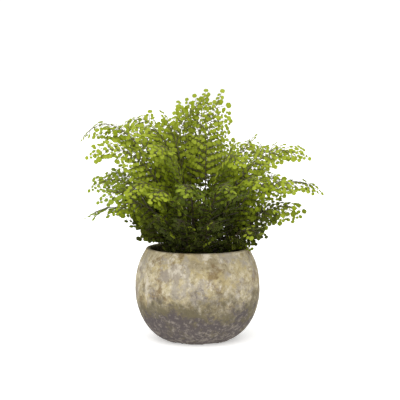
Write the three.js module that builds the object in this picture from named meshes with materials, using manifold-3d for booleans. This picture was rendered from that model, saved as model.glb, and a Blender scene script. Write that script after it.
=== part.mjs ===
// Maidenhair fern in a round-bellied earthenware pot, in millimetres, +Z up.
// The origin is the middle of the pot's flat foot. The fern's front, as it is usually seen, faces -Y.
// The pot is filled with potting soil, and every frond stands in a hole of its own in that soil.
import * as THREE from "three";
import { mergeVertices } from "three/addons/utils/BufferGeometryUtils.js";
import Module from "manifold-3d";

const wasm = await Module();
wasm.setup();

// Pot: a turned body with a flat foot, a wide belly, a rim drawn in, and a rounded lip
const potHeight = 111;
const footRadius = 33.5;
const bellyRadius = 74.9;
const bellyHeight = 61;
const rimRadius = 60.6;
const lowerRoundness = 1.9;
const upperRoundness = 2.3;
const wallThickness = 6.2;
const floorThickness = 8;
const lipHeight = 2.6;
const turnedSides = 36;
const soilSides = 18;

// Soil: fills the pot and rises to a low crown where the fronds grow
const soilEdgeHeight = 94;
const soilCrownHeight = 99;
const seatGap = 0.35;

// Stems: wiry, each standing in a hole a little wider than itself
const stemRadius = 0.95;
const stemSides = 3;
const stemSteps = 8;
const rootDepth = 8;
const holeRadius = 2.3;
const holeLength = 19;
const holeSides = 3;
const rootPull = 0.5;
const tipPull = 0.3;

// Pinnae: side branches of a frond. They grow every pinnaSpacing along the stem, on alternate sides,
// and every fifth one is modelled here. Angles are in degrees. Both sides hang below the frond's own
// plane by the sag, and fronds at the left and the right turn their upper face to the front.
const pinnaSpacing = 7.9;
const modelledEvery = 5;
const footAngle = 68;
const sag = 14;
const turnToFront = 55;
const endBladeShare = 0.5;
const endBladeAt = 0.985;
const lengthSpread = 0.2;
const rollSpread = 36;
const leastDroop = 0.1;
const droopSpread = 0.16;
const clearance = 0.45;
const leastDetail = 0.03;

// Leaflets: small fans on both sides of a pinna's rib, with a larger one at its end
const bladeThickness = 0.6;
const ribWidth = 1.3;
const leafletLength = 9.2;
const leafletSpread = 4.3;
const leafletSpacing = 7.4;
const leafletAngle = 62;
const endLeafletScale = 1.22;
const endGap = 0.83;
const cupping = 0.03;

// Each kind of frond: where it roots, how it leaves the soil, how its tip hangs, and how long its pinnae are.
// lean and hang are degrees from upright, tipShare is the length of the last side pinna against the first,
// tipAngle is its angle to the stem in degrees, and bare is the share of the stem without pinnae.
const kinds = {
  upright: { rootRadius: 7, lean: 5, hang: 22, pinna: 44, tipShare: 0.4, tipAngle: 62, bare: 0.48 },
  curling: { rootRadius: 8, lean: 14, hang: -50, pinna: 38, tipShare: 0.32, tipAngle: 56, bare: 0.44 },
  straight: { rootRadius: 12, lean: 10, hang: 44, pinna: 32, tipShare: 0.38, tipAngle: 42, bare: 0.3 },
  arching: { rootRadius: 13, lean: 12, hang: 136, pinna: 34, tipShare: 0.34, tipAngle: 42, bare: 0.3 },
  high: { rootRadius: 13, lean: 12, hang: 112, pinna: 37, tipShare: 0.38, tipAngle: 42, bare: 0.28 },
  middle: { rootRadius: 19, lean: 26, hang: 120, pinna: 36, tipShare: 0.38, tipAngle: 42, bare: 0.33 },
  low: { rootRadius: 26, lean: 38, hang: 106, pinna: 32, tipShare: 0.38, tipAngle: 42, bare: 0.22 },
  rim: { rootRadius: 33, lean: 34, hang: 66, pinna: 22, tipShare: 0.45, tipAngle: 42, bare: 0.2 },
};

// The fronds: kind, azimuth of the tip in degrees from +X, its reach from the pot's axis, its height,
// and the turn of the blade about its own stem in degrees.
const fronds = [
  ["upright", 350, 23, 282, 26],
  ["curling", 174, -3, 284, -8],
  ["upright", 60, 14, 284, -10],
  ["upright", 128, 32, 270, 0],
  ["upright", 110, 58, 262, 0],
  ["upright", 196, 35, 259, 10],
  ["upright", 324, 46, 224, 0],
  ["arching", 180, 131, 249, 30],
  ["high", 193, 120, 227, -10],
  ["high", 204, 76, 252, 10],
  ["high", 155, 92, 261, 0],
  ["high", 168, 116, 247, 0],
  ["high", 132, 106, 240, 0],
  ["high", 76, 108, 230, 0],
  ["high", 40, 108, 227, 0],
  ["high", 10, 112, 224, -30],
  ["high", 350, 121, 225, 0],
  ["straight", 26, 70, 236, -48],
  ["high", 238, 84, 232, 0],
  ["high", 302, 84, 222, 0],
  ["middle", 187, 118, 189, 0],
  ["middle", 198, 110, 176, 10],
  ["middle", 228, 106, 190, 10],
  ["middle", 243, 102, 182, 0],
  ["middle", 263, 96, 190, 0],
  ["middle", 290, 96, 190, 0],
  ["middle", 312, 104, 196, -20],
  ["middle", 336, 110, 188, 0],
  ["middle", 359, 138, 184, -25],
  ["middle", 28, 118, 188, 0],
  ["middle", 62, 120, 186, 0],
  ["middle", 110, 122, 186, 0],
  ["middle", 138, 122, 188, 0],
  ["middle", 160, 120, 192, 0],
  ["middle", 178, 123, 153, 50],
  ["middle", 207, 96, 164, 0],
  ["low", 236, 84, 152, 0],
  ["low", 256, 80, 150, 0],
  ["low", 282, 80, 148, 0],
  ["low", 320, 90, 136, 0],
  ["low", 344, 118, 162, 0],
  ["low", 8, 114, 150, 0],
  ["low", 48, 104, 145, 0],
  ["low", 82, 104, 148, 0],
  ["low", 116, 98, 154, 0],
  ["middle", 150, 94, 170, 0],
  ["rim", 222, 38, 140, 0],
  ["rim", 272, 46, 138, 0],
  ["rim", 326, 50, 138, 0],
  ["rim", 90, 48, 138, 0],
];

const colours = { pot: 0xb8aa8c, soil: 0x2e241a, frond: 0x7a9a1c };

const radians = THREE.MathUtils.degToRad;
const up = new THREE.Vector3(0, 0, 1);

// A repeatable number from 0 to 1 for one frond, one pinna and one use
function chance(frond, pinna, use) {
  const wave = Math.sin(frond * 12.9898 + pinna * 78.233 + use * 37.719) * 43758.5453;
  return wave - Math.floor(wave);
}

function solidFrom(geometry) {
  const bare = geometry.clone();
  bare.deleteAttribute("normal");
  bare.deleteAttribute("uv");
  const merged = mergeVertices(bare, 1e-4);
  const triVerts = new Uint32Array(merged.index.array);
  const vertProperties = new Float32Array(merged.attributes.position.array);
  const made = new wasm.Manifold(new wasm.Mesh({ numProp: 3, vertProperties, triVerts }));
  if (made.volume() > 0) return made;
  triVerts.reverse();
  return new wasm.Manifold(new wasm.Mesh({ numProp: 3, vertProperties, triVerts }));
}

function meshFrom(name, solid, colour, roughness) {
  const { vertProperties, triVerts, numProp } = solid.getMesh();
  const points = new Float32Array((vertProperties.length / numProp) * 3);
  for (let i = 0; i < points.length / 3; i += 1) {
    points.set(vertProperties.subarray(i * numProp, i * numProp + 3), i * 3);
  }
  const geometry = new THREE.BufferGeometry();
  geometry.setAttribute("position", new THREE.BufferAttribute(points, 3));
  geometry.setIndex(new THREE.BufferAttribute(new Uint32Array(triVerts), 1));
  geometry.computeVertexNormals();
  const material = new THREE.MeshStandardMaterial({ color: colour, roughness, metalness: 0 });
  const mesh = new THREE.Mesh(geometry, material);
  mesh.name = name;
  return mesh;
}

// Radius of the pot's outside at a height
function outsideRadius(z) {
  if (z < bellyHeight) {
    const cosine = (1 - z / bellyHeight) ** (lowerRoundness / 2);
    const sine = Math.sqrt(1 - cosine * cosine);
    return footRadius + (bellyRadius - footRadius) * sine ** (2 / lowerRoundness);
  }
  const drawnIn = (1 - (rimRadius / bellyRadius) ** upperRoundness) ** (1 / upperRoundness);
  const rise = ((z - bellyHeight) / (potHeight - bellyHeight)) * drawnIn;
  return bellyRadius * (1 - rise ** upperRoundness) ** (1 / upperRoundness);
}

function insideRadius(z) {
  return outsideRadius(z) - wallThickness;
}

function potSolid() {
  const outline = [new THREE.Vector2(0, 0)];
  for (const z of [0, 1.4, 6, 15, 28, 44, 61, 78, 92, 102]) {
    outline.push(new THREE.Vector2(outsideRadius(z), z));
  }
  const lipBase = potHeight - lipHeight;
  const lipMiddle = (outsideRadius(lipBase) + insideRadius(lipBase)) / 2;
  for (let turn = 0; turn <= 180; turn += 60) {
    const across = (wallThickness / 2) * Math.cos(radians(turn));
    outline.push(new THREE.Vector2(lipMiddle + across, lipBase + lipHeight * Math.sin(radians(turn))));
  }
  for (const z of [92, 78, 61, 44, 28, 15, floorThickness]) {
    outline.push(new THREE.Vector2(insideRadius(z), z));
  }
  outline.push(new THREE.Vector2(0, floorThickness));
  return solidFrom(new THREE.LatheGeometry(outline, turnedSides).rotateX(Math.PI / 2));
}

// Height of the soil's surface at a distance from the axis
function soilHeight(radius) {
  const share = radius / insideRadius(soilEdgeHeight);
  return soilCrownHeight - (soilCrownHeight - soilEdgeHeight) * share * share;
}

function soilSolid(holes) {
  const outline = [new THREE.Vector2(0, floorThickness + seatGap)];
  for (const z of [floorThickness + seatGap, 15, 28, 44, 61, 78, 92, soilEdgeHeight]) {
    outline.push(new THREE.Vector2(insideRadius(z) - seatGap, z));
  }
  for (const radius of [42, 20, 0]) {
    outline.push(new THREE.Vector2(radius, soilHeight(radius)));
  }
  const body = solidFrom(new THREE.LatheGeometry(outline, soilSides).rotateX(Math.PI / 2));
  return body.subtract(wasm.Manifold.union(holes)).asOriginal().simplify(leastDetail);
}

// A frond's rachis: it leaves the soil at its lean and ends with its tip hanging
function rachisCurve([kindName, azimuth, reach, height]) {
  const kind = kinds[kindName];
  const outward = new THREE.Vector3(Math.cos(radians(azimuth)), Math.sin(radians(azimuth)), 0);
  const heading = (angle) =>
    outward.clone().multiplyScalar(Math.sin(radians(angle))).addScaledVector(up, Math.cos(radians(angle)));
  const surface = outward.clone().multiplyScalar(kind.rootRadius).setZ(soilHeight(kind.rootRadius));
  const tip = outward.clone().multiplyScalar(reach).setZ(height);
  const root = surface.addScaledVector(heading(kind.lean), -rootDepth);
  const span = tip.distanceTo(root);
  return new THREE.CubicBezierCurve3(
    root,
    root.clone().addScaledVector(heading(kind.lean), rootPull * span),
    tip.clone().addScaledVector(heading(kind.hang), -tipPull * span),
    tip,
  );
}

function stemSolid(curve) {
  const section = new THREE.Shape();
  for (let i = 0; i < stemSides; i += 1) {
    const turn = (i / stemSides) * 2 * Math.PI;
    const point = [stemRadius * Math.cos(turn), stemRadius * Math.sin(turn)];
    if (i === 0) section.moveTo(...point);
    else section.lineTo(...point);
  }
  const options = { steps: stemSteps, bevelEnabled: false, extrudePath: curve };
  return solidFrom(new THREE.ExtrudeGeometry(section, options));
}

// The plain hole that a stem stands in: the stem's own first straight stretch, a little wider
function holeFor(curve) {
  const [foot, next] = curve.getSpacedPoints(stemSteps);
  const along = next.clone().sub(foot).normalize();
  const hole = new THREE.CylinderGeometry(holeRadius, holeRadius, holeLength, holeSides);
  hole.translate(0, holeLength / 2 - seatGap, 0);
  hole.applyQuaternion(new THREE.Quaternion().setFromUnitVectors(new THREE.Vector3(0, 1, 0), along));
  hole.translate(foot.x, foot.y, foot.z);
  return solidFrom(hole);
}

// The outer corners of one fan-shaped leaflet that grows from a rib at (x, y) in direction angle
function fan(corners, x, y, angle, length, spread) {
  const cos = Math.cos(angle);
  const sin = Math.sin(angle);
  return corners.map(([along, across]) => [
    x + along * length * cos - across * spread * sin,
    y + along * length * sin + across * spread * cos,
  ]);
}

// One pinna as a thin arched blade: a rib with leaflets on alternate sides, cut to the rib, and a larger
// leaflet at its end
function pinnaGeometry(length, droop) {
  const half = ribWidth / 2;
  const sideCorners = [[0.55, -1], [1, 0], [0.55, 1]];
  const endCorners = [[0.56, -1], [0.97, -0.48], [0.97, 0.48], [0.56, 1]];
  const endLength = leafletLength * endLeafletScale;
  const endSpread = leafletSpread * endLeafletScale;
  const ribEnd = Math.max(ribWidth, length - endLength);
  const right = [];
  const left = [];
  const count = Math.floor((ribEnd - 1) / leafletSpacing);
  for (let i = 0; i < count; i += 1) {
    const at = ribEnd - (i + endGap) * leafletSpacing;
    const side = i % 2 === 0 ? -1 : 1;
    const angle = side * radians(leafletAngle);
    const outer = fan(sideCorners, at, side * half, angle, leafletLength, leafletSpread);
    if (side > 0) outer.reverse();
    const lobe = [[at - half, side * half], ...outer, [at + half, side * half]];
    if (side < 0) right.unshift(...lobe);
    else left.unshift(...lobe);
  }
  const end = fan(endCorners, ribEnd, 0, 0, endLength, endSpread);
  const outline = [[0, -half], ...right, ...end, ...left.reverse(), [0, half]];
  const shape = new THREE.Shape(outline.map(([x, y]) => new THREE.Vector2(x, y)));
  const geometry = new THREE.ExtrudeGeometry(shape, { depth: bladeThickness, bevelEnabled: false });
  const points = geometry.attributes.position;
  for (let i = 0; i < points.count; i += 1) {
    const arch = -droop * length * (points.getX(i) / length) ** 2 - cupping * points.getY(i) ** 2;
    points.setZ(i, points.getZ(i) - bladeThickness / 2 + arch);
  }
  return geometry;
}

// A point on the stem's straight steps, at a share of its length
function onStem(curve, share) {
  const points = curve.getSpacedPoints(stemSteps);
  const step = Math.min(stemSteps - 1, Math.floor(share * stemSteps));
  return points[step].clone().lerp(points[step + 1], share * stemSteps - step);
}

// Where each modelled pinna of a frond grows, how long it is and which way it points, the one at its tip first
function pinnaePlaces(curve, index, [kindName, azimuth, , , twist]) {
  const kind = kinds[kindName];
  const length = curve.getLength();
  const bladeLength = length * (1 - kind.bare);
  const count = Math.floor(bladeLength / pinnaSpacing);
  const across = new THREE.Vector3(-Math.sin(radians(azimuth)), Math.cos(radians(azimuth)), 0);
  const turn = radians(twist + turnToFront * Math.cos(radians(azimuth)));
  const end = curve.getTangentAt(1);
  const flat = across.clone().applyAxisAngle(end, turn);
  const places = [{
    base: onStem(curve, endBladeAt),
    along: end,
    direction: end,
    normal: end.clone().cross(flat).normalize(),
    length: kind.pinna * endBladeShare,
    roll: 0,
    droop: leastDroop,
  }];
  for (let i = 0; i < count; i += modelledEvery) {
    const share = i / count;
    const at = kind.bare + (1 - kind.bare) * share;
    const along = curve.getTangentAt(at);
    const sideways = across.clone().applyAxisAngle(along, turn);
    const side = i % 2 === 0 ? 1 : -1;
    const angle = radians(footAngle + (kind.tipAngle - footAngle) * share);
    const direction = along.clone().multiplyScalar(Math.cos(angle));
    direction.addScaledVector(sideways, side * Math.sin(angle));
    const hang = radians(-side * sag);
    const spread = 1 + lengthSpread * (chance(index, i, 1) - 0.5);
    places.push({
      base: onStem(curve, at),
      along,
      direction: direction.applyAxisAngle(along, hang),
      normal: along.clone().cross(sideways).normalize().applyAxisAngle(along, hang),
      length: kind.pinna * (1 + (kind.tipShare - 1) * share) * spread,
      roll: radians(rollSpread * (chance(index, i, 2) - 0.5)),
      droop: leastDroop + droopSpread * chance(index, i, 3),
    });
  }
  return places;
}

function pinnaSolid(place, lift, scale) {
  const x = place.direction.clone().applyAxisAngle(place.along, lift);
  const z = place.normal.clone().applyAxisAngle(place.along, lift).applyAxisAngle(x, place.roll);
  const y = z.clone().cross(x).normalize();
  const frame = new THREE.Matrix4().makeBasis(x, y, x.clone().cross(y));
  frame.setPosition(place.base);
  return solidFrom(pinnaGeometry(place.length * scale, place.droop).applyMatrix4(frame));
}

// Something that a pinna keeps clear of, unless it is the stem of the pinna's own frond
function obstacle(solid, stemOf) {
  return { solid, box: solid.boundingBox(), stemOf };
}

function boxesMeet(a, b) {
  return [0, 1, 2].every((k) => a.min[k] - clearance < b.max[k] && b.min[k] - clearance < a.max[k]);
}

function isClear(solid, index, obstacles) {
  const box = solid.boundingBox();
  const near = obstacles.filter((other) => other.stemOf !== index && boxesMeet(box, other.box));
  return near.every((other) => solid.minGap(other.solid, clearance) >= clearance);
}

// A pinna that would touch a neighbour is bent about the rachis until it is clear, then shortened,
// then left out
function clearPinna(place, index, obstacles) {
  for (const scale of [1, 0.8, 0.62]) {
    for (const lift of [0, 9, -9, 18, -18, 27, -27, 36, -36]) {
      const solid = pinnaSolid(place, radians(lift), scale);
      if (isClear(solid, index, obstacles)) return solid;
    }
  }
  return null;
}

const model = new THREE.Group();
const curves = fronds.map(rachisCurve);
const stems = curves.map(stemSolid);
const pot = potSolid();
const soil = soilSolid(curves.map(holeFor));
model.add(meshFrom("pot", pot, colours.pot, 0.85));
model.add(meshFrom("soil", soil, colours.soil, 0.95));

const obstacles = [obstacle(pot), obstacle(soil), ...stems.map(obstacle)];
fronds.forEach((frond, index) => {
  const blades = [];
  for (const place of pinnaePlaces(curves[index], index, frond)) {
    const blade = clearPinna(place, index, obstacles);
    if (blade) {
      blades.push(blade);
      obstacles.push(obstacle(blade));
    }
  }
  const number = String(index + 1).padStart(2, "0");
  const whole = wasm.Manifold.union([stems[index], ...blades]).asOriginal().simplify(leastDetail);
  model.add(meshFrom(`frond_${number}_${frond[0]}`, whole, colours.frond, 0.6));
});

export default model;
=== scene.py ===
import math
import random

import bpy
import numpy as np
from mathutils import Matrix, Vector, geometry, noise


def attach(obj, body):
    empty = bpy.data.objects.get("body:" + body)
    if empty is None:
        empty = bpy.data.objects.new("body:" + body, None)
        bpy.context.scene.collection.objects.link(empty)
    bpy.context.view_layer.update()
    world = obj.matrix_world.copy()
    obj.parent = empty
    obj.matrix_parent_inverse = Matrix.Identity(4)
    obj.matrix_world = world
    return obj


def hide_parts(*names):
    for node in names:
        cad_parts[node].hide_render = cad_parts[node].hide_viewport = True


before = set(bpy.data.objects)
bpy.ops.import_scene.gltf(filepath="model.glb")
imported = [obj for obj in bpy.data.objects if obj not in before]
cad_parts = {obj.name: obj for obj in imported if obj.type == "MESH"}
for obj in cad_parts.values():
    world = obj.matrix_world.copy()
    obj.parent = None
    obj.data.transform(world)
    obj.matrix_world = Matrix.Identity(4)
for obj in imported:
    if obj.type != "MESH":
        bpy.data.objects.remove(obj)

mm = 0.001
up = Vector((0, 0, 1))
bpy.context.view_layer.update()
print("frame loaded:", len(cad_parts), "nodes")


# Small tools

def linear(hexColour):  # an sRGB hex colour as linear RGBA
    channels = [int(hexColour[i:i + 2], 16) / 255 for i in (1, 3, 5)]
    return [c / 12.92 if c <= 0.04045 else ((c + 0.055) / 1.055) ** 2.4 for c in channels] + [1.0]


def feedNode(tree, node, settings=None, links=None):  # gives a node its settings and what feeds its inputs
    for key, value in (settings or {}).items():
        if isinstance(key, str) and hasattr(node, key):
            setattr(node, key, value)
        else:
            node.inputs[key].default_value = value
    for key, source in (links or {}).items():
        tree.links.new(source, node.inputs[key])


def addNode(tree, kind, settings=None, links=None):
    node = tree.nodes.new(kind)
    feedNode(tree, node, settings, links)
    return node


def startMaterial(name):
    material = bpy.data.materials.new(name)
    material.use_nodes = True
    tree = material.node_tree
    return material, tree, tree.nodes["Principled BSDF"]


def rampStops(ramp, stops):  # gives a colour ramp its positions and hex colours
    elements = ramp.color_ramp.elements
    while len(elements) < len(stops):
        elements.new(0.5)
    for element, (position, hexColour) in zip(elements, stops):
        element.position = position
        element.color = linear(hexColour)


def pick(*pieces):  # makes these the only selected pieces, with the first of them active
    bpy.ops.object.select_all(action="DESELECT")
    for piece in pieces:
        piece.select_set(True)
    bpy.context.view_layer.objects.active = pieces[0]


def copyPiece(piece, place):  # a copy with its own mesh, put in its place inside that mesh
    copy = piece.copy()
    copy.data = piece.data.copy()
    copy.data.transform(place)
    bpy.context.collection.objects.link(copy)
    return copy


def joinPieces(pieces, name):
    pick(*pieces)
    bpy.ops.object.join()
    joined = bpy.context.object
    joined.name = name
    joined.data.name = name
    return joined


def weldMesh():  # joins points that coincide, turns all faces outward and leaves edit mode
    bpy.ops.mesh.select_all(action="SELECT")
    bpy.ops.mesh.remove_doubles(threshold=0.01 * mm)
    bpy.ops.mesh.normals_make_consistent(inside=False)
    bpy.ops.object.mode_set(mode="OBJECT")


def shiftValues(piece, attribute, amount):  # adds to one of the values that the leaf's material reads
    data = piece.data.attributes[attribute].data
    values = np.zeros(len(data))
    data.foreach_get("value", values)
    data.foreach_set("value", values + amount)


# Pot: turned, matt earthenware that has weathered

pot = {
    "height": 111 * mm,
    "footRadius": 33.5 * mm,
    "bellyRadius": 74.9 * mm,
    "bellyHeight": 61 * mm,
    "rimRadius": 60.6 * mm,
    "lowerRoundness": 1.9,
    "upperRoundness": 2.3,
    "wall": 6.2 * mm,
    "floor": 8 * mm,
    "lip": 2.6 * mm,
    "wallRings": 64,
    "ringCrowding": 1.4,     # above 1, the rings stand closer together near the foot
    "lipRings": 10,
    "turns": 180,
    "sharpAngle": 50,        # degrees at which an edge is left sharp
    "waviness": 0.9 * mm,    # the hand-made unevenness of the wall
    "wavelength": 34 * mm,
    "pitting": 0.35 * mm,
    "pitSize": 3.2 * mm,
}


def outsideRadius(z):
    if z < pot["bellyHeight"]:
        cosine = (1 - z / pot["bellyHeight"]) ** (pot["lowerRoundness"] / 2)
        sine = math.sqrt(max(0, 1 - cosine * cosine))
        swell = pot["bellyRadius"] - pot["footRadius"]
        return pot["footRadius"] + swell * sine ** (2 / pot["lowerRoundness"])
    power = pot["upperRoundness"]
    drawnIn = (1 - (pot["rimRadius"] / pot["bellyRadius"]) ** power) ** (1 / power)
    rise = (z - pot["bellyHeight"]) / (pot["height"] - pot["bellyHeight"]) * drawnIn
    return pot["bellyRadius"] * (1 - rise ** power) ** (1 / power)


def insideRadius(z):
    return outsideRadius(z) - pot["wall"]


def turnOutline(name, outline, turns):  # extrudes one vertex along an outline, then spins it about the axis
    bpy.ops.object.select_all(action="DESELECT")
    bpy.ops.mesh.primitive_plane_add(size=1)
    piece = bpy.context.object
    bpy.ops.object.mode_set(mode="EDIT")
    bpy.ops.mesh.merge(type="CENTER")
    bpy.ops.transform.translate(value=(outline[0][0], 0, outline[0][1]))
    for (x0, z0), (x1, z1) in zip(outline, outline[1:]):
        bpy.ops.mesh.extrude_region_move(TRANSFORM_OT_translate={"value": (x1 - x0, 0, z1 - z0)})
    bpy.ops.mesh.select_all(action="SELECT")
    bpy.ops.mesh.spin(steps=turns, angle=math.tau, center=(0, 0, 0), axis=(0, 0, 1))
    weldMesh()
    piece.name = name
    piece.data.name = name
    return piece


def displace(piece, name, size, strength):  # pushes a surface in and out by a cloud pattern
    texture = bpy.data.textures.new(name, "CLOUDS")
    texture.noise_scale = size
    texture.noise_depth = 2
    modifier = piece.modifiers.new(name, "DISPLACE")
    modifier.texture = texture
    modifier.strength = strength
    modifier.mid_level = 0.5
    pick(piece)
    bpy.ops.object.modifier_apply(modifier=name)


def weatheredEarthenware():
    # Earthenware is a porous low-fired clay: matt, pitted, and blotched where water and lime have soaked
    # through. Each layer is laid over those before it where its noise is high. A layer's rise is added to its
    # noise for each metre above middle, so that a layer with a negative one lies low on the pot.
    look = {
        "clay": [(0.30, "#75694F"), (0.42, "#978B6D"), (0.50, "#B1A688"), (0.58, "#BEB39A"),
                 (0.70, "#D6D0C2")],
        "clayNoise": {"Scale": 1 / (7 * mm), "Detail": 10, "Roughness": 0.75},
        "layers": [
            {"colour": "#7D7157", "size": 60 * mm, "from": 0.44, "to": 0.58, "most": 0.66},
            {"colour": "#A8986A", "size": 26 * mm, "from": 0.49, "to": 0.59, "most": 0.6},
            {"colour": "#6E5A3C", "size": 22 * mm, "from": 0.50, "to": 0.60, "most": 0.72},
            {"colour": "#958E86", "size": 30 * mm, "from": 0.50, "to": 0.58, "most": 0.65},
            {"colour": "#CFC6B4", "size": 16 * mm, "from": 0.54, "to": 0.64, "most": 0.7, "stretch": 0.6},
            {"colour": "#5F5844", "size": 24 * mm, "from": 0.33, "to": 0.60, "most": 0.92, "rise": -9},
            {"colour": "#4D464D", "size": 20 * mm, "from": 0.48, "to": 0.62, "most": 0.75, "rise": -4},
            {"colour": "#978E82", "size": 5 * mm, "from": 0.54, "to": 0.68, "most": 0.6, "rise": -2},
            {"colour": "#4C4336", "size": 3.4 * mm, "from": 0.58, "to": 0.68, "most": 0.65},
        ],
        "layerNoise": {"Detail": 10, "Roughness": 0.72, "Distortion": 0.2},
        "firstShift": 0.2,     # metres that the first layer's noise is moved, and each next one's beyond it
        "nextShift": 0.37,
        "middle": 48 * mm,
        "grainNoise": {"Scale": 1 / (0.9 * mm), "Detail": 3},
        "grainRelief": {"Strength": 0.4, "Distance": 0.25 * mm},
        "pitNoise": {"Scale": 1 / (2.6 * mm), "Detail": 4},
        "pitEdge": {"interpolation_type": "SMOOTHSTEP", 1: 0.52, 2: 0.7},
        "pitRelief": {"Strength": 0.8, "Distance": 0.5 * mm, "invert": True},
        "surface": {"Roughness": 0.9, "Specular IOR Level": 0.2},
    }
    material, tree, surface = startMaterial("weathered earthenware")
    place = addNode(tree, "ShaderNodeTexCoord").outputs["Object"]
    height = addNode(tree, "ShaderNodeSeparateXYZ", links={0: place}).outputs["Z"]
    fromMiddle = addNode(tree, "ShaderNodeMath", {"operation": "SUBTRACT", 1: look["middle"]}, {0: height})
    clay = addNode(tree, "ShaderNodeTexNoise", look["clayNoise"], {"Vector": place})
    clayColours = addNode(tree, "ShaderNodeValToRGB", links={0: clay.outputs[0]})
    rampStops(clayColours, look["clay"])
    colour = clayColours.outputs[0]
    for i, layer in enumerate(look["layers"]):
        shift = look["firstShift"] + look["nextShift"] * i
        spread = {"Scale": (1, 1, layer.get("stretch", 1)), "Location": (shift, 0, 0)}
        spot = addNode(tree, "ShaderNodeMapping", spread, {"Vector": place})
        cloud = addNode(tree, "ShaderNodeTexNoise", {"Scale": 1 / layer["size"], **look["layerNoise"]},
                        {"Vector": spot.outputs[0]})
        risen = addNode(tree, "ShaderNodeMath", {"operation": "MULTIPLY_ADD", 1: layer.get("rise", 0)},
                        {0: fromMiddle.outputs[0], 2: cloud.outputs[0]})
        band = {"interpolation_type": "SMOOTHSTEP", 1: layer["from"], 2: layer["to"], 4: layer["most"]}
        mask = addNode(tree, "ShaderNodeMapRange", band, {0: risen.outputs[0]})
        over = addNode(tree, "ShaderNodeMix", {"data_type": "RGBA", 7: linear(layer["colour"])},
                       {0: mask.outputs[0], 6: colour})
        colour = over.outputs[2]

    grain = addNode(tree, "ShaderNodeTexNoise", look["grainNoise"], {"Vector": place})
    rough = addNode(tree, "ShaderNodeBump", look["grainRelief"], {"Height": grain.outputs[0]})
    pits = addNode(tree, "ShaderNodeTexNoise", look["pitNoise"], {"Vector": place})
    deep = addNode(tree, "ShaderNodeMapRange", look["pitEdge"], {0: pits.outputs[0]})
    relief = addNode(tree, "ShaderNodeBump", look["pitRelief"],
                     {"Height": deep.outputs[0], "Normal": rough.outputs[0]})
    feedNode(tree, surface, look["surface"], {"Base Color": colour, "Normal": relief.outputs[0]})
    return material


def makePot():
    lipBase = pot["height"] - pot["lip"]
    lipMiddle = (outsideRadius(lipBase) + insideRadius(lipBase)) / 2
    rings = pot["wallRings"]
    outline = [(0, 0), (pot["footRadius"] / 2, 0)]
    for i in range(rings):
        z = lipBase * (i / rings) ** pot["ringCrowding"]
        outline.append((outsideRadius(z), z))
    for i in range(pot["lipRings"] + 1):
        turn = math.pi * i / pot["lipRings"]
        outline.append((lipMiddle + pot["wall"] / 2 * math.cos(turn), lipBase + pot["lip"] * math.sin(turn)))
    for i in range(1, rings // 2 + 1):
        z = lipBase - (lipBase - pot["floor"]) * i / (rings // 2)
        outline.append((insideRadius(z), z))
    outline.append((0, pot["floor"]))
    piece = turnOutline("earthenware_pot", outline, pot["turns"])
    displace(piece, "wavy wall", pot["wavelength"], pot["waviness"])
    displace(piece, "pits", pot["pitSize"], pot["pitting"])
    for vertex in piece.data.vertices:  # the foot stays flat
        if vertex.co.z < pot["waviness"]:
            vertex.co.z = 0
    pick(piece)
    bpy.ops.object.shade_smooth_by_angle(angle=math.radians(pot["sharpAngle"]))
    piece.data.materials.append(weatheredEarthenware())
    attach(piece, "root")
    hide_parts("pot")


makePot()
print("pot turned")


# Soil: a dark crumbly mix that fills the pot

soil = {
    "edge": 94 * mm,
    "crown": 99 * mm,
    "gap": 0.35 * mm,
    "wallRings": 12,
    "rings": 42,
    "turns": 120,
    "lumpSize": 9 * mm,
    "lumpNoise": (0.7, 2.0, 4),          # its dimension, lacunarity and octaves
    "lumpHeight": 2.2 * mm,
    "lumpRange": (-0.6, 0.8),
    "smoothEdge": 1 * mm,                # how far in from the edge the lumps begin
    "crumbs": 420,
    "crumbSize": (0.8 * mm, 2.2 * mm),
    "crumbBumps": (0.7, 1.15),
    "crumbWidth": (0.5, 0.9),            # against its length, as the next one
    "crumbHeight": (0.4, 0.7),
    "crumbLift": 0.15,
    "crumbEdge": 2 * mm,                 # how far in from the edge the crumbs end
}


def soilHeight(radius):
    share = radius / insideRadius(soil["edge"])
    return soil["crown"] - (soil["crown"] - soil["edge"]) * share * share


def lumpAt(x, y):  # how far the surface's lumps rise above it
    lowest, highest = soil["lumpRange"]
    lumps = noise.fractal(Vector((x, y, 0)) / soil["lumpSize"], *soil["lumpNoise"])
    return soil["lumpHeight"] * max(lowest, min(highest, lumps))


def pottingMix():
    # Peat and composted bark: nearly black when moist, with paler fibres, and no shine
    look = {
        "mix": [(0.36, "#120D09"), (0.52, "#2B2018"), (0.66, "#4B3A2A")],
        "gritNoise": {"Scale": 1 / (2.5 * mm), "Detail": 6, "Roughness": 0.7},
        "gritRelief": {"Strength": 0.9, "Distance": 0.6 * mm},
        "surface": {"Roughness": 0.95, "Specular IOR Level": 0.2},
    }
    material, tree, surface = startMaterial("moist potting mix")
    place = addNode(tree, "ShaderNodeTexCoord").outputs["Object"]
    grit = addNode(tree, "ShaderNodeTexNoise", look["gritNoise"], {"Vector": place})
    colours = addNode(tree, "ShaderNodeValToRGB", links={0: grit.outputs[0]})
    rampStops(colours, look["mix"])
    relief = addNode(tree, "ShaderNodeBump", look["gritRelief"], {"Height": grit.outputs[0]})
    feedNode(tree, surface, look["surface"], {"Base Color": colours.outputs[0], "Normal": relief.outputs[0]})
    return material


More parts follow.
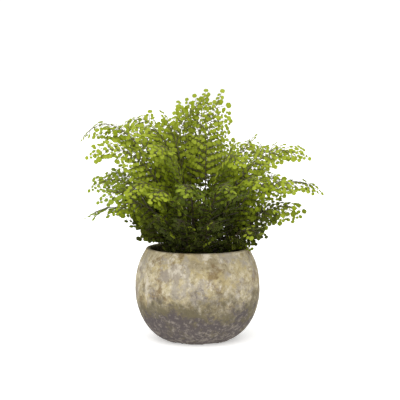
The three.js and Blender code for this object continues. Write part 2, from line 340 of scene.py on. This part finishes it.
def makeSoil():
    bottom = pot["floor"] + soil["gap"]
    outline = [(0, bottom)]
    for i in range(soil["wallRings"] + 1):
        z = bottom + (soil["edge"] - bottom) * i / soil["wallRings"]
        outline.append((insideRadius(z) - soil["gap"] - pot["waviness"] / 2, z))
    edgeRadius = outline[-1][0]
    for i in range(1, soil["rings"]):
        radius = edgeRadius * (1 - i / soil["rings"])
        outline.append((radius, soilHeight(radius)))
    outline.append((0, soil["crown"]))
    bed = turnOutline("potting_soil", outline, soil["turns"])
    for vertex in bed.data.vertices:
        x, y, z = vertex.co
        if z > soil["edge"] and math.hypot(x, y) < edgeRadius - soil["smoothEdge"]:
            vertex.co.z += lumpAt(x, y)

    bpy.ops.object.select_all(action="DESELECT")
    bpy.ops.mesh.primitive_ico_sphere_add(subdivisions=1, radius=1)
    crumb = bpy.context.object
    draw = random.Random(7)
    for vertex in crumb.data.vertices:
        vertex.co *= draw.uniform(*soil["crumbBumps"])
    crumbs = []
    for _ in range(soil["crumbs"]):
        radius = (edgeRadius - soil["crumbEdge"]) * math.sqrt(draw.random())
        turn = draw.uniform(0, math.tau)
        x, y = radius * math.cos(turn), radius * math.sin(turn)
        size = draw.uniform(*soil["crumbSize"])
        width = size * draw.uniform(*soil["crumbWidth"])
        scale = Matrix.Diagonal((size, width, size * draw.uniform(*soil["crumbHeight"]), 1))
        tilt = Matrix.Rotation(draw.uniform(0, math.tau), 4, Vector((draw.random(), draw.random(), 1)))
        seat = Matrix.Translation((x, y, soilHeight(radius) + lumpAt(x, y) + size * soil["crumbLift"]))
        crumbs.append(copyPiece(crumb, seat @ tilt @ scale))
    bpy.data.objects.remove(crumb)
    piece = joinPieces([bed, *crumbs], "potting_soil")
    piece.data.materials.append(pottingMix())
    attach(piece, "root")
    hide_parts("soil")


makeSoil()
print("soil filled")


# Leaflets: little fans on hair-fine stalks

leaflet = {
    "length": 4.2 * mm,
    "fanAngle": 160,       # degrees between the two straight edges
    "lobeDepth": 0.04,
    "thickness": 0.24 * mm,
    "cup": 0.7 * mm,       # how far the shoulders hang below the middle, across the fan and along it
    "cupAcross": 1.6,
    "cupAlong": 0.7,
    "middle": 0.55,
    "stalk": 2.0 * mm,
    "stalkLap": 1.2,       # its full length against the part that shows, so that it runs into both ends
    "stalkRadius": 0.24 * mm,
    "stalkTaper": 0.7,
    "sharpAngle": 60,
}

# Each pattern's points round the edge, its lobes, and how narrow it is, as a power
fanShapes = {"fan_a": (12, 3, 0.5), "fan_b": (12, 4, 0.65), "fan_c": (12, 2, 0.42)}
buttonShapes = {"button_a": (22, 6, 0.8), "button_b": (22, 7, 0.66)}


def livingLeaf():
    # A thin waxy leaf: yellow-green from above with a satin sheen, and a paler, greyer underside, whose
    # colour is also laid on as painted sheen
    look = {
        "tones": [(0.0, "#0F1201"), (0.3, "#3C4403"), (0.6, "#7C8A14"), (1.0, "#939F30")],
        "mottleNoise": {"Scale": 1 / (14 * mm), "Detail": 3},
        "mottleShare": 0.5,
        "undersideAndSheen": "#788C3A",
        "undersideAndSheenShare": 0.4,
        "vein": "#A9B74C",
        "veins": 22,           # that would fit round a full circle
        "veinEdge": 0.3,
        "veinShare": 0.25,
        "veinRelief": {"Strength": 0.4, "Distance": 0.1 * mm},
        "surface": {"Roughness": 0.6, "Specular IOR Level": 0.08},
    }
    material, tree, surface = startMaterial("living fern leaf")
    uv = addNode(tree, "ShaderNodeUVMap", {"uv_map": "fan"}).outputs[0]
    parts = addNode(tree, "ShaderNodeSeparateXYZ", links={0: uv})
    # The fan's axis lies halfway up its map, so the veins' angle is measured from there
    across = addNode(tree, "ShaderNodeMath", {"operation": "SUBTRACT", 1: 0.5}, {0: parts.outputs[1]})
    angle = addNode(tree, "ShaderNodeMath", {"operation": "ARCTAN2"},
                    {0: across.outputs[0], 1: parts.outputs[0]})
    turns = addNode(tree, "ShaderNodeMath", {"operation": "MULTIPLY", 1: look["veins"]},
                    {0: angle.outputs[0]})
    wave = addNode(tree, "ShaderNodeMath", {"operation": "COSINE"}, {0: turns.outputs[0]})
    vein = addNode(tree, "ShaderNodeMapRange", {1: look["veinEdge"]}, {0: wave.outputs[0]})

    place = addNode(tree, "ShaderNodeTexCoord").outputs["Object"]
    mottle = addNode(tree, "ShaderNodeTexNoise", look["mottleNoise"], {"Vector": place})
    tone = addNode(tree, "ShaderNodeAttribute", {"attribute_name": "tone"}).outputs["Fac"]
    mottled = addNode(tree, "ShaderNodeMath", {"operation": "MULTIPLY_ADD", 1: look["mottleShare"]},
                      {0: mottle.outputs[0], 2: tone})
    shade = addNode(tree, "ShaderNodeMath", {"operation": "SUBTRACT", 1: look["mottleShare"] / 2},
                    {0: mottled.outputs[0]})
    colours = addNode(tree, "ShaderNodeValToRGB", links={0: shade.outputs[0]})
    rampStops(colours, look["tones"])
    veinShare = addNode(tree, "ShaderNodeMath", {"operation": "MULTIPLY", 1: look["veinShare"]},
                        {0: vein.outputs[0]})
    veined = addNode(tree, "ShaderNodeMix", {"data_type": "RGBA", 7: linear(look["vein"])},
                     {0: veinShare.outputs[0], 6: colours.outputs[0]})
    # Painted sheen: raised over whole fronds, this share lays the paler colour on as sheen
    paleAmount = addNode(tree, "ShaderNodeAttribute", {"attribute_name": "undersideAndSheen"}).outputs["Fac"]
    paleMix = addNode(tree, "ShaderNodeMath",
                         {"operation": "MULTIPLY", "use_clamp": True, 1: look["undersideAndSheenShare"]}, {0: paleAmount})
    colour = addNode(tree, "ShaderNodeMix", {"data_type": "RGBA", 7: linear(look["undersideAndSheen"])},
                     {0: paleMix.outputs[0], 6: veined.outputs[2]})
    relief = addNode(tree, "ShaderNodeBump", look["veinRelief"], {"Height": vein.outputs[0]})
    feedNode(tree, surface, look["surface"], {"Base Color": colour.outputs[2], "Normal": relief.outputs[0]})
    return material


def wiryStem():
    # A fern's stems are thin, hard and glossy: dark brown at the foot, olive where they are young
    look = {
        "ages": [(0.0, "#2E2418"), (0.5, "#463D29"), (1.0, "#5E5A35")],
        "oldHeight": 120 * mm,
        "youngHeight": 290 * mm,
        "streakNoise": {"Scale": 1 / (6 * mm), "Detail": 3},
        "streakDrift": 60 * mm,
        "surface": {"Roughness": 0.4},
    }
    material, tree, surface = startMaterial("wiry fern stem")
    place = addNode(tree, "ShaderNodeTexCoord").outputs["Object"]
    height = addNode(tree, "ShaderNodeSeparateXYZ", links={0: place}).outputs["Z"]
    streak = addNode(tree, "ShaderNodeTexNoise", look["streakNoise"], {"Vector": place})
    drift = addNode(tree, "ShaderNodeMath", {"operation": "MULTIPLY_ADD", 1: look["streakDrift"]},
                    {0: streak.outputs[0], 2: height})
    age = addNode(tree, "ShaderNodeMapRange", {1: look["oldHeight"], 2: look["youngHeight"]},
                  {0: drift.outputs[0]})
    colours = addNode(tree, "ShaderNodeValToRGB", links={0: age.outputs[0]})
    rampStops(colours, look["ages"])
    feedNode(tree, surface, look["surface"], {"Base Color": colours.outputs[0]})
    return material


leafMaterial = livingLeaf()
stemMaterial = wiryStem()


def makeLeaflet(name, points, lobes, narrowness):
    # A flat cone with a closed base has the leaflet's faces: its ring becomes the edge of the fan
    length = leaflet["length"]
    bpy.ops.object.select_all(action="DESELECT")
    bpy.ops.mesh.primitive_cone_add(vertices=points, radius1=1, radius2=0, depth=1, end_fill_type="TRIFAN")
    blade = bpy.context.object

    def atMiddle(spot):  # whether it is the cone's tip or the middle of its base
        return math.hypot(spot.x, spot.y) < 0.5

    under = {v.index for v in blade.data.vertices if atMiddle(v.co) and v.co.z < 0}
    for vertex in blade.data.vertices:
        x, y, z = vertex.co
        if atMiddle(vertex.co):
            x, y = leaflet["middle"] * length, 0
            rise = leaflet["thickness"] / 2 * (1 if z > 0 else -1)
        else:
            step = round(math.atan2(y, x) / math.tau * points) % points
            share = (step - 1) / (points - 2)
            turn = math.radians(leaflet["fanAngle"]) * (share - 0.5)
            lobe = 1 + leaflet["lobeDepth"] * math.cos(math.tau * lobes * (share - 0.5))
            reach = 0 if step == 0 else math.cos(turn) ** narrowness * lobe * length
            x, y = reach * math.cos(turn), reach * math.sin(turn)
            rise = 0
        bow = (y / length) ** 2 * leaflet["cupAcross"] + (x / length) ** 3 * leaflet["cupAlong"]
        vertex.co = (x + leaflet["stalk"], y, rise - leaflet["cup"] * bow)

    blade.data.uv_layers[0].name = "fan"
    for loop, uv in zip(blade.data.loops, blade.data.uv_layers["fan"].data):
        spot = blade.data.vertices[loop.vertex_index].co
        uv.uv = ((spot.x - leaflet["stalk"]) / length, spot.y / length / 2 + 0.5)
    blade.data.attributes.new("tone", "FLOAT", "FACE")
    side = blade.data.attributes.new("undersideAndSheen", "FLOAT", "FACE")
    isUnder = [float(any(v in under for v in face.vertices)) for face in blade.data.polygons]
    side.data.foreach_set("value", isUnder)
    blade.data.materials.append(leafMaterial)
    pick(blade)
    bpy.ops.object.shade_smooth_by_angle(angle=math.radians(leaflet["sharpAngle"]))

    foot = leaflet["stalkRadius"]
    middle = (leaflet["stalk"] / 2, 0, 0)
    bpy.ops.object.select_all(action="DESELECT")
    bpy.ops.mesh.primitive_cone_add(vertices=3, radius1=foot, radius2=foot * leaflet["stalkTaper"],
                                    depth=leaflet["stalk"] * leaflet["stalkLap"], location=middle,
                                    rotation=(0, math.pi / 2, 0))
    bpy.ops.object.transform_apply(location=True, rotation=True, scale=True)
    stalk = bpy.context.object
    stalk.data.uv_layers[0].name = "fan"
    stalk.data.materials.append(stemMaterial)
    return joinPieces([blade, stalk], name)


# Pinnae: side branches with leaflets on both sides and a larger one at the end

pinna = {
    "shortest": 11 * mm,
    "lengthStep": 3.6 * mm,
    "steps": 9,
    "takes": 3,
    "droop": (0.08, 0.24),   # against its length, as the next one
    "sweep": (-0.08, 0.14),
    "bare": 3.5 * mm,
    "leafletSpacing": 2.4 * mm,
    "ribRadius": 0.42 * mm,
    "ribTaper": 0.45,
    "ribSteps": 6,
    "ribSides": 4,
    "footAngle": 66,
    "tipAngle": 40,
    "angleSpread": 10,
    "footScale": 1.12,
    "tipScale": 0.8,
    "scaleSpread": (0.88, 1.12),
    "roll": 24,              # degrees that a leaflet may turn about its stalk
    "pitch": 12,
    "toneSpread": 0.18,
    "endScale": (1.1, 1.42),
    "endStalk": 0.5,         # the share of the end leaflet's stalk that counts in the pinna's length
    "endRoll": 0.5,
    "endTone": 0.04,
}


def makeWire(name, points, radii, sides):  # a tapered tube through points, from a bevelled curve
    bpy.ops.object.select_all(action="DESELECT")
    bpy.ops.curve.primitive_bezier_curve_add()
    wire = bpy.context.object
    spline = wire.data.splines[0]
    spline.bezier_points.add(len(points) - len(spline.bezier_points))
    for knot, point, radius in zip(spline.bezier_points, points, radii):
        knot.co = point
        knot.radius = radius
        knot.handle_left_type = "VECTOR"
        knot.handle_right_type = "VECTOR"
    wire.data.resolution_u = 1
    wire.data.bevel_depth = 1
    wire.data.bevel_resolution = (sides - 4) // 2
    wire.data.use_fill_caps = True
    bpy.ops.object.convert(target="MESH")
    wire = bpy.context.object
    bpy.ops.object.mode_set(mode="EDIT")
    weldMesh()
    bpy.ops.object.shade_smooth_by_angle(angle=math.radians(leaflet["sharpAngle"]))
    wire.data.materials.clear()
    wire.data.materials.append(stemMaterial)
    wire.name = name
    return wire


def makePinna(step, take, fans, buttons):
    length = pinna["shortest"] + step * pinna["lengthStep"]
    draw = random.Random(100 * step + take)
    droop = draw.uniform(*pinna["droop"])
    sweep = draw.uniform(*pinna["sweep"])

    def ribAt(x):
        share = x / length
        return Vector((x, sweep * length * share ** 2, -droop * length * share ** 2))

    endScale = draw.uniform(*pinna["endScale"])
    end = length - leaflet["length"] * endScale - leaflet["stalk"] * pinna["endStalk"]
    steps = pinna["ribSteps"]
    stations = [ribAt(end * i / steps) for i in range(steps + 1)]
    radii = [pinna["ribRadius"] * (1 - pinna["ribTaper"] * i / steps) for i in range(steps + 1)]
    parts = [makeWire("rib", stations, radii, pinna["ribSides"])]
    count = max(1, int((end - pinna["bare"]) / pinna["leafletSpacing"] + 1))
    for i in range(count + 1):
        share = i / count
        last = i == count
        side = 0 if last else (1 if (i + take) % 2 == 0 else -1)
        angle = pinna["footAngle"] + (pinna["tipAngle"] - pinna["footAngle"]) * share
        angle += draw.uniform(-pinna["angleSpread"], pinna["angleSpread"])
        scale = pinna["footScale"] + (pinna["tipScale"] - pinna["footScale"]) * share
        scale = endScale if last else scale * draw.uniform(*pinna["scaleSpread"])
        x = end if last else min(end, pinna["bare"] + i * pinna["leafletSpacing"])
        slope = ribAt(x * 1.01) - ribAt(x * 0.99)  # from just before the leaflet to just after it
        heading = math.atan2(slope.y, slope.x) + side * math.radians(angle)
        pitch = math.atan2(-slope.z, slope.x) + math.radians(draw.uniform(-pinna["pitch"], pinna["pitch"]))
        roll = math.radians(draw.uniform(-pinna["roll"], pinna["roll"])) * (pinna["endRoll"] if last else 1)
        place = (Matrix.Translation(ribAt(x)) @ Matrix.Rotation(heading, 4, "Z")
                 @ Matrix.Rotation(pitch, 4, "Y") @ Matrix.Rotation(roll, 4, "X") @ Matrix.Scale(scale, 4))
        copy = copyPiece(draw.choice(buttons if last else fans), place)
        tone = draw.uniform(-pinna["toneSpread"], pinna["toneSpread"])
        shiftValues(copy, "tone", tone + (pinna["endTone"] if last else 0))
        parts.append(copy)
    return length, joinPieces(parts, f"pinna_{step}_{take}")


# Fronds: the rachis of each leaves the soil at its lean and ends with its tip hanging, as the frame's does

frond = {
    "rootDepth": 8 * mm,
    "rootPull": 0.5,       # how far each end's direction holds, against the span from root to tip
    "tipPull": 0.3,
    "footRadius": 0.95 * mm,
    "tipRadius": 0.36 * mm,
    "sides": 6,
    "stations": 30,
    "pointsEach": 4,       # points traced for each station
    "fineSteps": 400,
    "footAngle": 68,
    "angleSpread": 14,
    "lengthSpread": 0.2,
    "coarseSpread": 0.3,
    "roll": 42,
    "sag": 14,
    "lift": 28,
    "turnToFront": 55,     # degrees that fronds at the sides turn their upper face to the front
    "toneSpread": 0.2,
    "pinnaTones": 0.16,
    "youngShare": 0.17,
    "endAt": 0.985,        # where the pinna at the tip stands, its length against the first, and its tone
    "endShare": 0.5,
    "endTone": 0.04,
    "bends": (0, 14, -14, 28, -28, 42, -42),  # degrees tried to keep a pinna clear of the pot
    "clearance": 0.5 * mm,
    "shadeHeart": (0, -45 * mm, 105 * mm),  # painted shade: leaves are made darker towards the heart of the plant, where shade falls
    "shadeReach": 130 * mm,
    "shadeEdge": 0.9,      # the share of that reach at which a leaf keeps its own tone
    "shadeDarkening": 0.96,
    "sheenFade": 3,         # how fast the painted sheen fades towards the heart, as a power
}

# Where each kind roots, in millimetres, how it leaves the soil and how its tip hangs, in degrees from upright
kinds = {
    "upright": {"rootRadius": 7, "lean": 5, "hang": 22},
    "curling": {"rootRadius": 8, "lean": 14, "hang": -50},
    "straight": {"rootRadius": 12, "lean": 10, "hang": 44},
    "arching": {"rootRadius": 13, "lean": 12, "hang": 136},
    "high": {"rootRadius": 13, "lean": 12, "hang": 112},
    "middle": {"rootRadius": 19, "lean": 26, "hang": 120},
    "low": {"rootRadius": 26, "lean": 38, "hang": 106},
    "rim": {"rootRadius": 33, "lean": 34, "hang": 66},
}

# Each kind's pinnae: the length of the first and their spacing, in millimetres, the last one's length against
# the first and its angle to the stem, and the share of the stem that has none
dress = {
    "upright": {"pinna": 44, "spacing": 4.2, "tipShare": 0.4, "tipAngle": 62, "bare": 0.52},
    "curling": {"pinna": 38, "spacing": 4.8, "tipShare": 0.32, "tipAngle": 56, "bare": 0.44},
    "straight": {"pinna": 32, "spacing": 5.8, "tipShare": 0.38, "tipAngle": 42, "bare": 0.3},
    "arching": {"pinna": 34, "spacing": 4.8, "tipShare": 0.34, "tipAngle": 42, "bare": 0.3},
    "high": {"pinna": 37, "spacing": 4, "tipShare": 0.38, "tipAngle": 42, "bare": 0.26},
    "middle": {"pinna": 36, "spacing": 4, "tipShare": 0.38, "tipAngle": 42, "bare": 0.27},
    "low": {"pinna": 32, "spacing": 3.8, "tipShare": 0.38, "tipAngle": 42, "bare": 0.12},
    "rim": {"pinna": 22, "spacing": 2.9, "tipShare": 0.45, "tipAngle": 42, "bare": 0.1},
}

# How coarse and how light the leaves of each kind are, the low and rim kinds darker as painted shade, and how
# much lighter those of its young pinnae
leafing = {
    "upright": {"coarse": 1.0, "tone": 0.7, "fresh": 0.26},
    "curling": {"coarse": 0.97, "tone": 0.7, "fresh": 0.26},
    "straight": {"coarse": 0.95, "tone": 0.64, "fresh": 0.3},
    "arching": {"coarse": 1.04, "tone": 0.64, "fresh": 0.3},
    "high": {"coarse": 0.98, "tone": 0.76, "fresh": 0.26},
    "middle": {"coarse": 0.97, "tone": 0.59, "fresh": 0.36},
    "low": {"coarse": 0.95, "tone": 0.37, "fresh": 1.05},
    "rim": {"coarse": 0.95, "tone": 0.38, "fresh": 1.3},
}

# Kind, azimuth of the tip in degrees from +X, its reach and height in millimetres, the blade's twist, how
# much lighter the leaves are than others of the kind, and how much painted sheen they show, laid on as the
# paler colour of the undersides
fronds = [
    ("upright", 350, 23, 282, 26, 0.04, 0),
    ("curling", 174, -3, 284, -8, 0.04, 0),
    ("upright", 60, 14, 284, -10, 0.02, 0),
    ("upright", 128, 32, 270, 0, 0, 0),
    ("upright", 110, 58, 262, 0, 0, 0),
    ("upright", 196, 35, 259, 10, 0.02, 0),
    ("upright", 324, 46, 224, 0, 0, 0),
    ("arching", 180, 131, 249, 30, 0, 0),
    ("high", 193, 120, 227, -10, 0, 0),
    ("high", 204, 76, 252, 10, 0.04, 0),
    ("high", 155, 92, 261, 0, 0.04, 0),
    ("high", 168, 116, 247, 0, 0, 0),
    ("high", 132, 106, 240, 0, 0, 0),
    ("high", 76, 108, 230, 0, 0, 0),
    ("high", 40, 108, 227, 0, 0, 0),
    ("high", 10, 112, 224, -30, 0.06, 0),
    ("high", 350, 121, 225, 0, 0.02, 0),
    ("straight", 26, 70, 236, -48, 0.08, 0),
    ("high", 238, 84, 232, 0, 0, 0),
    ("high", 302, 84, 222, 0, 0, 0),
    ("middle", 187, 118, 189, 0, 0, 0.7),
    ("middle", 198, 110, 176, 10, 0, 1.2),
    ("middle", 228, 106, 190, 10, 0.28, 0),
    ("middle", 243, 102, 182, 0, 0.34, 0.1),
    ("middle", 263, 96, 190, 0, 0.2, 1.9),
    ("middle", 290, 96, 190, 0, 0, 1.2),
    ("middle", 312, 104, 196, -20, -0.02, 0),
    ("middle", 336, 110, 188, 0, 0.04, 0),
    ("middle", 359, 138, 184, -25, 0, 0),
    ("middle", 28, 118, 188, 0, -0.1, 0),
    ("middle", 62, 120, 186, 0, -0.04, 0),
    ("middle", 110, 122, 186, 0, 0, 0.3),
    ("middle", 138, 122, 188, 0, 0, 0),
    ("middle", 160, 120, 192, 0, 0, 0.3),
    ("middle", 178, 123, 153, 50, 0, 0.9),
    ("middle", 207, 96, 164, 0, 0.08, 0),
    ("low", 236, 84, 152, 0, 0.06, 0),
    ("low", 256, 80, 150, 0, 0.14, 0),
    ("low", 282, 80, 148, 0, 0.08, 0),
    ("low", 320, 90, 136, 0, -0.04, 0),
    ("low", 344, 118, 162, 0, 0.1, 0),
    ("low", 8, 114, 150, 0, 0.12, 0),
    ("low", 48, 104, 145, 0, 0, 0),
    ("low", 82, 104, 148, 0, 0, 0),
    ("low", 116, 98, 154, 0, 0, 0),
    ("middle", 150, 94, 170, 0, 0, 0),
    ("rim", 222, 38, 140, 0, 0.1, 0),
    ("rim", 272, 46, 138, 0, 0.3, 0),
    ("rim", 326, 50, 138, 0, 0.1, 0),
    ("rim", 90, 48, 138, 0, 0, 0),
]


# What is drawn by chance for a pinna or a frond, with a number that keeps its draws apart from the others'
draws = {
    "length": 1, "roll": 2, "lift": 4, "take": 5, "tone": 6, "coarseness": 7, "youth": 8, "frondTone": 9,
    "angle": 10,
}
scatter = (12.9898, 78.233, 37.719, 43758.5453)  # uneven factors, so that neighbours draw unlike numbers


def chance(index, spot, what):  # a repeatable number from 0 to 1
    wave = math.sin(index * scatter[0] + spot * scatter[1] + draws[what] * scatter[2]) * scatter[3]
    return wave - math.floor(wave)


def traceRachis(kind, azimuth, reach, height):  # evenly spaced points along the rachis
    outward = Vector((math.cos(azimuth), math.sin(azimuth), 0))

    def heading(angle):
        return outward * math.sin(math.radians(angle)) + up * math.cos(math.radians(angle))

    surface = outward * kind["rootRadius"] * mm + up * soilHeight(kind["rootRadius"] * mm)
    root = surface - heading(kind["lean"]) * frond["rootDepth"]
    tip = outward * reach + up * height
    span = (tip - root).length
    rootHandle = root + heading(kind["lean"]) * frond["rootPull"] * span
    tipHandle = tip - heading(kind["hang"]) * frond["tipPull"] * span
    fine = geometry.interpolate_bezier(root, rootHandle, tipHandle, tip, frond["fineSteps"])
    walked = np.concatenate([[0], np.cumsum([(b - a).length for a, b in zip(fine, fine[1:])])])
    even = np.linspace(0, walked[-1], frond["stations"] * frond["pointsEach"] + 1)
    columns = [np.interp(even, walked, [point[k] for point in fine]) for k in range(3)]
    return [Vector(point) for point in zip(*columns)], walked[-1]


def alongRachis(points, share):  # the point and the direction at a share of the rachis
    spot = share * (len(points) - 1)
    step = min(len(points) - 2, int(spot))
    direction = (points[step + 1] - points[step]).normalized()
    return points[step].lerp(points[step + 1], spot - step), direction


def meetsPot(piece):  # whether any of it would cut into the pot's wall or lip
    clearance = frond["clearance"]
    for vertex in piece.data.vertices:
        x, y, z = vertex.co
        radius = math.hypot(x, y)
        if z < pot["height"] and insideRadius(z) - clearance < radius < outsideRadius(z) + clearance:
            return True
    return False


def makeFrond(index, row, pinnae):
    kindName, azimuth, reach, height, twist, lighter, paintedSheen = row
    kind = dress[kindName]
    leaves = leafing[kindName]
    azimuth = math.radians(azimuth)
    points, length = traceRachis(kinds[kindName], azimuth, reach * mm, height * mm)
    stations = points[::frond["pointsEach"]]
    radii = [frond["footRadius"] + (frond["tipRadius"] - frond["footRadius"]) * i / (len(stations) - 1)
             for i in range(len(stations))]
    parts = [makeWire("rachis", stations, radii, frond["sides"])]
    across = Vector((-math.sin(azimuth), math.cos(azimuth), 0))
    bladeTurn = math.radians(twist + frond["turnToFront"] * math.cos(azimuth))
    # Painted shade: the kind's tone keeps the low and rim fronds darker
    frondTone = leaves["tone"] + lighter + frond["toneSpread"] * (chance(index, 0, "frondTone") - 0.5)

    def addPinna(at, side, pinnaLength, angle, roll, lift, tone):
        base, along = alongRachis(points, at)
        sideways = Matrix.Rotation(bladeTurn, 3, along) @ across
        coarseness = chance(index, at * 100, "coarseness") - 0.5
        coarse = leaves["coarse"] * (1 + frond["coarseSpread"] * coarseness)
        step = round((pinnaLength / coarse - pinna["shortest"]) / pinna["lengthStep"])
        step = max(0, min(pinna["steps"] - 1, step))
        takeLength, pattern = pinnae[step][int(chance(index, at * 100, "take") * pinna["takes"])]
        for bend in frond["bends"]:
            turn = Matrix.Rotation(lift + math.radians(bend), 3, along)
            x = turn @ (along * math.cos(angle) + sideways * side * math.sin(angle))
            z = Matrix.Rotation(roll, 3, x) @ turn @ along.cross(sideways).normalized()
            y = z.cross(x).normalized()
            turned = Matrix((x, y, x.cross(y))).transposed().to_4x4()
            place = Matrix.Translation(base) @ turned @ Matrix.Scale(pinnaLength / takeLength, 4)
            copy = copyPiece(pattern, place)
            if not meetsPot(copy):
                break
            bpy.data.objects.remove(copy)
        else:  # no bend keeps it clear, so this pinna is left out
            return
        # Painted shade: pinnae nearer the heart are made darker and lose their paler colour
        outness = min(1, (base - Vector(frond["shadeHeart"])).length / frond["shadeReach"])
        shiftValues(copy, "tone", tone + frond["shadeDarkening"] * (outness - frond["shadeEdge"]))
        # Painted sheen: the frond's share lays the paler colour over its leaves, fading towards the heart
        shiftValues(copy, "undersideAndSheen", paintedSheen * outness ** frond["sheenFade"] - 1 + outness)
        parts.append(copy)

    count = int(length * (1 - kind["bare"]) / (kind["spacing"] * mm))
    for i in range(count):
        share = i / count
        spread = 1 + frond["lengthSpread"] * (chance(index, i, "length") - 0.5)
        pinnaLength = kind["pinna"] * mm * (1 + (kind["tipShare"] - 1) * share) * spread
        angle = frond["footAngle"] + (kind["tipAngle"] - frond["footAngle"]) * share
        angle = math.radians(angle + frond["angleSpread"] * (chance(index, i, "angle") - 0.5))
        roll = math.radians(frond["roll"] * (chance(index, i, "roll") - 0.5))
        side = 1 if i % 2 == 0 else -1
        lift = math.radians(frond["lift"] * (chance(index, i, "lift") - 0.5) - side * frond["sag"])
        tone = frondTone + frond["pinnaTones"] * (chance(index, i, "tone") - 0.5)
        if chance(index, i, "youth") < frond["youngShare"]:
            tone += leaves["fresh"] * min(1, 2 * share)
        addPinna(kind["bare"] + (1 - kind["bare"]) * share, side, pinnaLength, angle, roll, lift, tone)
    endLength = kind["pinna"] * mm * frond["endShare"]
    addPinna(frond["endAt"], 0, endLength, 0, 0, 0, frondTone + frond["endTone"])

    node = f"frond_{index + 1:02d}_{kindName}"
    piece = joinPieces(parts, f"fern_{node}")
    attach(piece, "root")
    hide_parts(node)


def makeFern():
    fans = [makeLeaflet(name, *shape) for name, shape in fanShapes.items()]
    buttons = [makeLeaflet(name, *shape) for name, shape in buttonShapes.items()]
    pinnae = [[makePinna(step, take, fans, buttons) for take in range(pinna["takes"])]
              for step in range(pinna["steps"])]
    print("pinnae made:", pinna["steps"] * pinna["takes"])
    for index, row in enumerate(fronds):
        makeFrond(index, row, pinnae)
    for pattern in fans + buttons + [take for row in pinnae for _, take in row]:
        bpy.data.objects.remove(pattern)


makeFern()
print("fronds grown:", len(fronds))


# Studio: a pale floor, soft light and the camera

studio = {
    "cameraDistance": 1.5,
    "cameraHeight": 0.308,
    "aim": (0.003, 0, 0.168),
    "lens": 112.9,
    "clip": (0.05, 100),
    "floorSize": 30,
    "floorDrop": 0.1 * mm,
    "floorColour": "#FBFBFA",
    "floorRoughness": 0.8,
    "floorGlow": 0.4,      # as a light table's, which leaves hardly a shadow
    "skyLight": 0.74,      # what lights the fern
    "skySeen": 1.1,        # what the camera sees behind it
    "sun": {"from": (-0.2, -0.9, 1.3), "spread": 80, "strength": 1.9},
}


def makeStudio():
    bpy.ops.object.select_all(action="DESELECT")
    bpy.ops.mesh.primitive_plane_add(size=studio["floorSize"], location=(0, 0, -studio["floorDrop"]))
    bpy.ops.object.transform_apply(location=True)
    floor = bpy.context.object
    floor.name = "studio_floor"
    material, tree, surface = startMaterial("pale studio floor")
    paint = linear(studio["floorColour"])
    feedNode(tree, surface, {"Base Color": paint, "Roughness": studio["floorRoughness"],
                             "Emission Color": paint, "Emission Strength": studio["floorGlow"]})
    floor.data.materials.append(material)

    world = bpy.data.worlds.new("studio")
    world.use_nodes = True
    sky = world.node_tree
    seen = addNode(sky, "ShaderNodeLightPath").outputs["Is Camera Ray"]
    strength = addNode(sky, "ShaderNodeMapRange", {3: studio["skyLight"], 4: studio["skySeen"]}, {0: seen})
    feedNode(sky, sky.nodes["Background"], {"Color": (1, 1, 1, 1)}, {"Strength": strength.outputs[0]})
    bpy.context.scene.world = world

    bpy.ops.object.light_add(type="SUN", location=studio["sun"]["from"])
    sun = bpy.context.object
    sun.data.angle = math.radians(studio["sun"]["spread"])
    sun.data.energy = studio["sun"]["strength"]
    sun.rotation_euler = sun.location.to_track_quat("Z", "Y").to_euler()

    aim = Vector(studio["aim"])
    spot = Vector((aim.x, -studio["cameraDistance"], studio["cameraHeight"]))
    bpy.ops.object.camera_add(location=spot)
    camera = bpy.context.object
    camera.data.lens = studio["lens"]
    camera.data.clip_start, camera.data.clip_end = studio["clip"]
    camera.rotation_euler = (aim - spot).to_track_quat("-Z", "Y").to_euler()
    bpy.context.scene.camera = camera
    bpy.context.scene.view_settings.view_transform = "Standard"


makeStudio()
print("studio lit")
